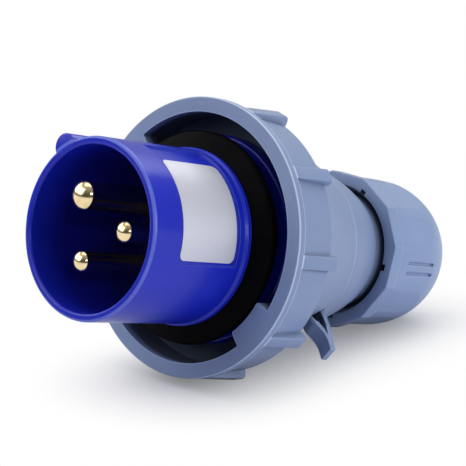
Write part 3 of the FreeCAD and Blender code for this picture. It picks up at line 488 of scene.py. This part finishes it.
class PLUG_OT_contacts(bpy.types.Operator):
    """Finish the pins, the carrier that they stand in and their screws"""

    bl_idname = "plug.contacts"
    bl_label = "Contacts"

    def execute(self, context):
        metal = Finish("pin_brass", Metallic=1.0)
        station, reach = metal.along()
        base = tuple(colours().brass)
        stain = metal.noise(420.0, 4.0)
        metal.feed("Base Color", metal.mix(stain.rise(0.45, 0.8), base,
                                           [base[0] * 0.86, base[1] * 0.80, base[2] * 0.62]))
        metal.feed("Roughness", 0.12 + stain * 0.10)
        turning = (station * 52000.0).sine()
        metal.relief(turning * 0.5 + metal.noise(3000.0) * 0.5, 0.0000015)
        for name, radius, turn, lead in PINS:
            tip = PIN_TIP - lead - 0.55 * radius
            shank = radius + 0.2
            collar = radius + 1.5
            barrel = radius + 0.8
            hole = barrel - 1.3
            pin = turned(name + "_turned", "plug", [
                (tip, 0.0), (tip, 0.651 * radius, 0.645 * radius), (tip + 0.55 * radius, radius),
                (CARRIER_FRONT, radius), (CARRIER_FRONT, shank), (50.0, shank),
                (50.0, collar, 0.2), (52.0, collar, 0.2), (52.0, barrel), (66.0, barrel, 0.3),
                (66.0, hole, 0.2), (58.0, hole), (58.0, 0.0),
            ], closed=False, aside=(turn, PIN_CIRCLE))
            paint(metal, pin)
            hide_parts(name)

        dark = Finish("carrier_navy")
        dark.feed("Base Color", dark.mix(dark.noise(120.0), (0.008, 0.010, 0.05),
                                         (0.012, 0.014, 0.07)))
        dark.feed("Roughness", 0.45 + dark.noise(800.0) * 0.1)
        dark.relief(dark.noise(2600.0), 0.00001, 0.0002)
        paint(dark, *cad("contact_carrier", "pin_retainer"))

        steel = Finish("screw_steel", Metallic=1.0)
        steel.feed("Base Color", steel.mix(steel.noise(700.0), (0.50, 0.50, 0.48),
                                           (0.62, 0.61, 0.57)))
        steel.feed("Roughness", 0.28 + steel.noise(1500.0) * 0.15)
        steel.relief(steel.noise(4000.0), 0.000004, 0.0001)
        paint(steel, *cad("retainer_screws", "earth_terminal_screw", "line_terminal_screw",
                          "neutral_terminal_screw"))
        return {"FINISHED"}


class PLUG_OT_rubber(bpy.types.Operator):
    """Finish the face seal and the other rubber pieces"""

    bl_idname = "plug.rubber"
    bl_label = "Rubber"

    def execute(self, context):
        base = tuple(colours().seal)
        skin = Finish("seal_rubber", Specular_IOR_Level=0.015)
        bloom = skin.noise(260.0, 4.0)
        tint = skin.mix(bloom.rise(0.4, 0.8), base, [c * 1.6 for c in base])
        # Painted highlight: the rubber is lighter along its edges
        skin.feed("Base Color", skin.mix(skin.rims(0.0004) * 0.6, tint, (0.055, 0.048, 0.045)))
        skin.feed("Roughness", 0.28 + bloom * 0.12)
        skin.relief(skin.noise(3000.0, 3.0), 0.00003, 0.0003)
        seal = turned("face_seal_turned", "plug", SEAL, closed=True, steps=160)
        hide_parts("face_seal")
        paint(skin, seal, *cad("housing_o_ring", "cable_seal"))
        return {"FINISHED"}


def moulded_grey(name, shade=1.0, edge=0.0003, ring=False, collar=0.0, step=0.0):
    """Satin blue-grey plastic with a fine moulded skin, painted highlights on its edges and painted
    shade in corners.

    shade dims this copy of the grey as painted shade. edge is the radius in metres that sharp
    edges are shaded with. The ring has painted shade inside its bore and painted highlights along
    its band edges. Behind collar, corners get no painted shade; at step, an edge gets a painted
    highlight.
    """
    # Painted shade: shade dims the ring, housing and lever copies of the grey below the nut's
    base = [c * shade for c in colours().housing]
    skin = Finish(name, Specular_IOR_Level=0.36)
    cloud = skin.noise(38.0, 3.0)
    tint = skin.mix(cloud.rise(0.3, 0.7), [c * 0.96 for c in base],
                    [min(1.0, c * 1.04) for c in base])
    # Painted highlights: lighter along edges
    tint = skin.mix(skin.rims(0.0007) * 0.75, tint, [min(1.0, c * 1.5 + 0.05) for c in base])
    # Painted shade: darker in corners
    painted_shade_mask = 1.0 - skin.crease(0.006).rise(0.05, 0.85)
    station, reach = skin.along()
    if step:
        # Painted highlight along the step's edge
        step_highlight = station.band((step - 0.4) * MM, step * MM, 0.7 * MM)
        tint = skin.mix(step_highlight * 0.4, tint, (0.45, 0.53, 0.74))
    if collar:
        painted_shade_mask = painted_shade_mask * (1.0 - station.rise(collar * MM, (collar + 1.5) * MM))
    rough = 0.34 + skin.noise(900.0) * 0.10
    if ring:
        # Painted highlights along the band's front and back edges
        front_edge_highlight = reach.rise(0.0350, 0.03515) * (1.0 - station.rise(0.0353, 0.0356))
        back_edge_highlight = reach.rise(0.0350, 0.0352) * station.band(0.0371, 0.0374, 0.0001)
        tint = skin.mix(front_edge_highlight.at_least(back_edge_highlight) * 0.75, tint, (0.62, 0.70, 0.88))
        # Painted shade at the foot of each rib and inside the ring's bore, which is also rougher
        rib_foot_shade = (1.0 - skin.crease(0.0016).rise(0.35, 0.95)) * 0.8
        bore_shade = station.rise(0.0356, 0.0385) * (1.0 - reach.rise(0.0315, 0.0320))
        painted_shade_mask = painted_shade_mask.at_least(rib_foot_shade).at_least(bore_shade)
        rough = rough + bore_shade * 0.5
    # Painted shade mixes the grey towards a near-black grey
    skin.feed("Base Color", skin.mix(painted_shade_mask * 0.85, tint, [c * c * 0.12 for c in base]))
    skin.feed("Roughness", rough)
    skin.relief(skin.noise(1800.0, 2.0), 0.000006, edge)
    return skin


class PLUG_OT_ring(bpy.types.Operator):
    """Build the coupling ring: banded wall with a web, ribs flush with the band, and two lugs"""

    bl_idname = "plug.ring"
    bl_label = "Coupling ring"

    def execute(self, context):
        form = lathe(RING_WALL, steps=200)
        rib = plate(RING_RIB, sizes().rib_width / MM, 0.28)
        repeat(rib, sizes().ribs, RING_ANGLE)
        add_to(form, rib)
        lug = self.lug()
        middle = sum((point.co for point in lug.verts), Vector()) / len(lug.verts)
        swung = math.degrees(math.atan2(-middle.y, middle.z))
        repeat(lug, 2, RING_ANGLE - swung)
        add_to(form, lug)
        bmesh.ops.transform(form, matrix=LYING, verts=form.verts[:])
        ring = finished("coupling_ring_moulded", "ring", form)
        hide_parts("coupling_ring")
        paint(moulded_grey("ring_grey", shade=0.88, edge=0.0, ring=True), ring)
        return {"FINISHED"}

    @staticmethod
    def lug():
        """One bayonet lug, its inner corners rounded, where the spin leaves it."""
        form = drawn(RING_LUG)
        face = bmesh.ops.edgeloop_fill(form, edges=form.edges[:])["faces"]
        bmesh.ops.spin(form, geom=face, cent=(0.0, 0.0, 0.0), axis=(1.0, 0.0, 0.0),
                       angle=sizes().lug_sweep, steps=16)
        bmesh.ops.recalc_face_normals(form, faces=form.faces[:])

        def nearer(edge, limit):
            return [math.hypot(point.co.y, point.co.z) < limit * MM for point in edge.verts]

        corners = [edge for edge in sharp_edges(form) if all(nearer(edge, 27.8))
                   and abs(edge.verts[0].co.x - edge.verts[1].co.x) > MM]
        soften(form, corners, sizes().lug_corner / MM, 6)
        soften(form, [edge for edge in sharp_edges(form) if any(nearer(edge, 31.4))], 0.2)
        return form


class PLUG_OT_lever(bpy.types.Operator):
    """Build the lock lever: a hollowed front leg, a thin back leg and the barrel at its root"""

    bl_idname = "plug.lever"
    bl_label = "Lock lever"

    def execute(self, context):
        legs = [(LEVER_PIVOT + spot[0], LEVER_REACH + spot[1], *spot[2:]) for spot in LEVER_LEGS]
        form = plate(legs, sizes().lever_width / MM, 0.16, widen=(LEVER_REACH + 6.0, 1.36))
        root = Matrix.Translation((LEVER_PIVOT * MM, 0.0, LEVER_REACH * MM))
        bar = bmesh.ops.create_cone(form, cap_ends=True, segments=40, radius1=BARREL_RADIUS * MM,
                                    radius2=BARREL_RADIUS * MM, depth=BARREL_LENGTH * MM,
                                    matrix=root @ Matrix.Rotation(math.radians(90.0), 4, "X"))
        rims = [edge for edge in {edge for point in bar["verts"] for edge in point.link_edges}
                if edge.calc_face_angle(0.0) > math.radians(60.0)]
        rims.sort(key=lambda edge: edge.index)
        soften(form, rims, 0.12, 2)
        spun = Matrix.Rotation(math.radians(LEVER_ANGLE), 4, "X")
        bmesh.ops.transform(form, matrix=LYING @ spun, verts=form.verts[:])
        lever = finished("lock_lever_moulded", "lever", form)
        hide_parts("lock_lever")
        paint(moulded_grey("lever_grey", shade=0.86, edge=0.0), lever)
        return {"FINISHED"}


class PLUG_OT_housing(bpy.types.Operator):
    """Finish the rear housing and the gland"""

    bl_idname = "plug.housing"
    bl_label = "Housing"

    def execute(self, context):
        paint(moulded_grey("housing_grey", shade=0.88, step=HOUSING_STEP), *cad("rear_housing"))
        paint(moulded_grey("nut_grey", edge=0.0007, collar=NUT_COLLAR_BACK), *cad("gland_nut"))
        white = Finish("gland_white")
        white.feed("Base Color", white.mix(white.noise(200.0), (0.60, 0.60, 0.56),
                                           (0.70, 0.70, 0.67)))
        white.feed("Roughness", 0.5 + white.noise(900.0) * 0.1)
        white.relief(white.noise(2400.0), 0.00001, 0.0002)
        paint(white, *cad("gland_clamp", "slip_washer"))
        return {"FINISHED"}


# Stage

# Camera's place in metres and its turn in degrees
CAMERA_PLACE = (-0.293830, -0.251201, 0.121835)
CAMERA_TURN = (77.1206, -1.2385, -48.0089)

# What the lamps point at, and each lamp's name, the setting that gives its power, its place from
# that point, its width and its height, in metres
MIDDLE = Vector((-0.01, 0.0, 0.035))
LAMPS = (
    ("key", "key", (0.24, -0.86, 0.20), 0.60, 0.42),
    ("top", "top", (-0.05, 0.10, 0.86), 0.60, 0.60),
    ("back", "back", (0.56, 0.14, 0.68), 0.50, 0.50),
    ("edge", "edge", (-0.46, -0.66, 0.34), 0.09, 0.09),
    ("left_near", "fill", (-0.77, 0.30, 0.50), 0.60, 0.62),
    ("left_far", "fill", (-0.33, 0.82, 0.50), 0.60, 0.62),
)


def softbox(name, offset, wide, tall, power):
    """A rectangular area light at a place from the middle, turned towards the middle."""
    lamp = bpy.data.lights.new(name, "AREA")
    lamp.shape = "RECTANGLE"
    lamp.size = wide
    lamp.size_y = tall
    lamp.energy = power
    thing = bpy.data.objects.new(name, lamp)
    bpy.context.scene.collection.objects.link(thing)
    thing.location = MIDDLE + Vector(offset)
    thing.rotation_euler = (-Vector(offset)).to_track_quat("-Z", "Y").to_euler()


class PLUG_OT_stage(bpy.types.Operator):
    """Set up the camera, a pale floor and soft light"""

    bl_idname = "plug.stage"
    bl_label = "Stage"

    def execute(self, context):
        values = stage_settings()
        scene = context.scene
        scene.view_settings.view_transform = "Standard"
        self.place_camera(scene, values.lens)
        self.lay_floor(scene)
        self.surround(scene, values)
        for name, setting, offset, wide, tall in LAMPS:
            softbox(name, offset, wide, tall, getattr(values, setting))
        return {"FINISHED"}

    @staticmethod
    def place_camera(scene, focal_length):
        """The photograph's point of view."""
        lens = bpy.data.cameras.new("camera")
        lens.lens = focal_length
        lens.sensor_width = 36.0
        lens.clip_start = 0.01
        camera = bpy.data.objects.new("camera", lens)
        scene.collection.objects.link(camera)
        camera.location = CAMERA_PLACE
        camera.rotation_euler = [math.radians(angle) for angle in CAMERA_TURN]
        scene.camera = camera

    @staticmethod
    def lay_floor(scene):
        """A white floor that fades to pure white away from the plug, keeps its shadow and has
        painted shadow in corners near the plug.
        """
        plane = bmesh.new()
        bmesh.ops.create_grid(plane, x_segments=8, y_segments=8, size=3.0)
        sheet = bpy.data.meshes.new("floor")
        plane.to_mesh(sheet)
        plane.free()
        floor = bpy.data.objects.new("floor", sheet)
        scene.collection.objects.link(floor)

        ground = Finish("floor_white", Roughness=0.9, Specular_IOR_Level=0.1)
        # Painted shadow: where the floor meets the plug, its colour darkens towards blue, in view
        # and in bounced light
        unshadowed = ground.crease(0.020).rise(0.0, 0.9)
        pale = ground.mix(ground.noise(30.0), (0.80, 0.80, 0.81), (0.82, 0.82, 0.83))
        pale = ground.mix(unshadowed, (0.14, 0.17, 0.32), pale)
        # Bounced light off the floor is darker and bluer than the floor looks, which shades the
        # plug's undersides
        bounced = ground.mix(unshadowed, (0.10, 0.12, 0.25), (0.50, 0.53, 0.70))
        thrown = ground.node("LightPath", out="Is Diffuse Ray")
        ground.feed("Base Color", ground.mix(thrown, pale, bounced))

        # Whiter with the distance from a line under the plug, to the camera and half so in gloss
        seen = ground.node("LightPath", out="Is Camera Ray")
        seen = seen.at_least(ground.node("LightPath", out="Is Glossy Ray") * 0.5)
        along, aside = (ground.node("SeparateXYZ", {}, (ground.place,), out=axis) for axis in "XY")
        beyond = ((along - 0.017).size() - 0.045).at_least(0.0)
        away = (beyond * beyond + aside * aside) ** 0.5
        veil = (away.rise(-0.002, 0.044) * 0.79 + 0.21) * seen
        glow = ground.node("Emission", {}, {"Color": (1.0, 1.0, 1.0, 1.0), "Strength": 1.0})
        output = ground.tree.nodes["Material Output"]
        blend = ground.node("MixShader", {}, (veil, Field(ground, ground.shader.outputs[0]), glow))
        ground.tree.links.new(blend.socket, output.inputs["Surface"])
        paint(ground, floor)

    @staticmethod
    def surround(scene, values):
        """A soft sky, brighter above and behind, and plain white to the camera."""
        around = Surround("studio")
        towards = around.node("VectorMath", {"operation": "DOT_PRODUCT"},
                              (around.place, (0.40, 0.30, 0.87)), out="Value")
        light = towards.rise(-0.35, 0.95) * values.bright + values.dim
        plain = around.node("LightPath", out="Is Camera Ray")
        plain = plain.at_least(around.node("LightPath", out="Is Transmission Ray"))
        around.feed("Color", (1.0, 1.0, 1.0, 1.0))
        around.feed("Strength", light * (1.0 - plain) + plain)
        scene.world = around.world


class PLUG_PT_panel(bpy.types.Panel):
    """Buttons for the plug's pieces and its stage"""

    bl_idname = "PLUG_PT_panel"
    bl_label = "Pin and sleeve plug"
    bl_space_type = "VIEW_3D"
    bl_region_type = "UI"
    bl_category = "Plug"

    def draw(self, context):
        for group in (sizes(), colours(), stage_settings()):
            for name in group.bl_rna.properties.keys():
                if name not in {"rna_type", "name"}:
                    self.layout.prop(group, name)
        for step in STEPS:
            self.layout.operator(step)


GROUPS = (PlugSizes, PlugColours, PlugStage)
OPERATORS = (PLUG_OT_stage, PLUG_OT_sleeve, PLUG_OT_contacts, PLUG_OT_rubber, PLUG_OT_housing,
             PLUG_OT_ring, PLUG_OT_lever)
STEPS = [kind.bl_idname for kind in OPERATORS]


def register():
    for kind in (*GROUPS, *OPERATORS, PLUG_PT_panel):
        bpy.utils.register_class(kind)
    bpy.types.Scene.plug_sizes = PointerProperty(type=PlugSizes)
    bpy.types.Scene.plug_colours = PointerProperty(type=PlugColours)
    bpy.types.Scene.plug_stage = PointerProperty(type=PlugStage)


def unregister():
    del bpy.types.Scene.plug_stage
    del bpy.types.Scene.plug_colours
    del bpy.types.Scene.plug_sizes
    for kind in reversed((*GROUPS, *OPERATORS, PLUG_PT_panel)):
        bpy.utils.unregister_class(kind)


def main():
    register()
    for step in STEPS:
        family, name = step.split(".")
        getattr(getattr(bpy.ops, family), name)()


if __name__ == "__main__":
    main()
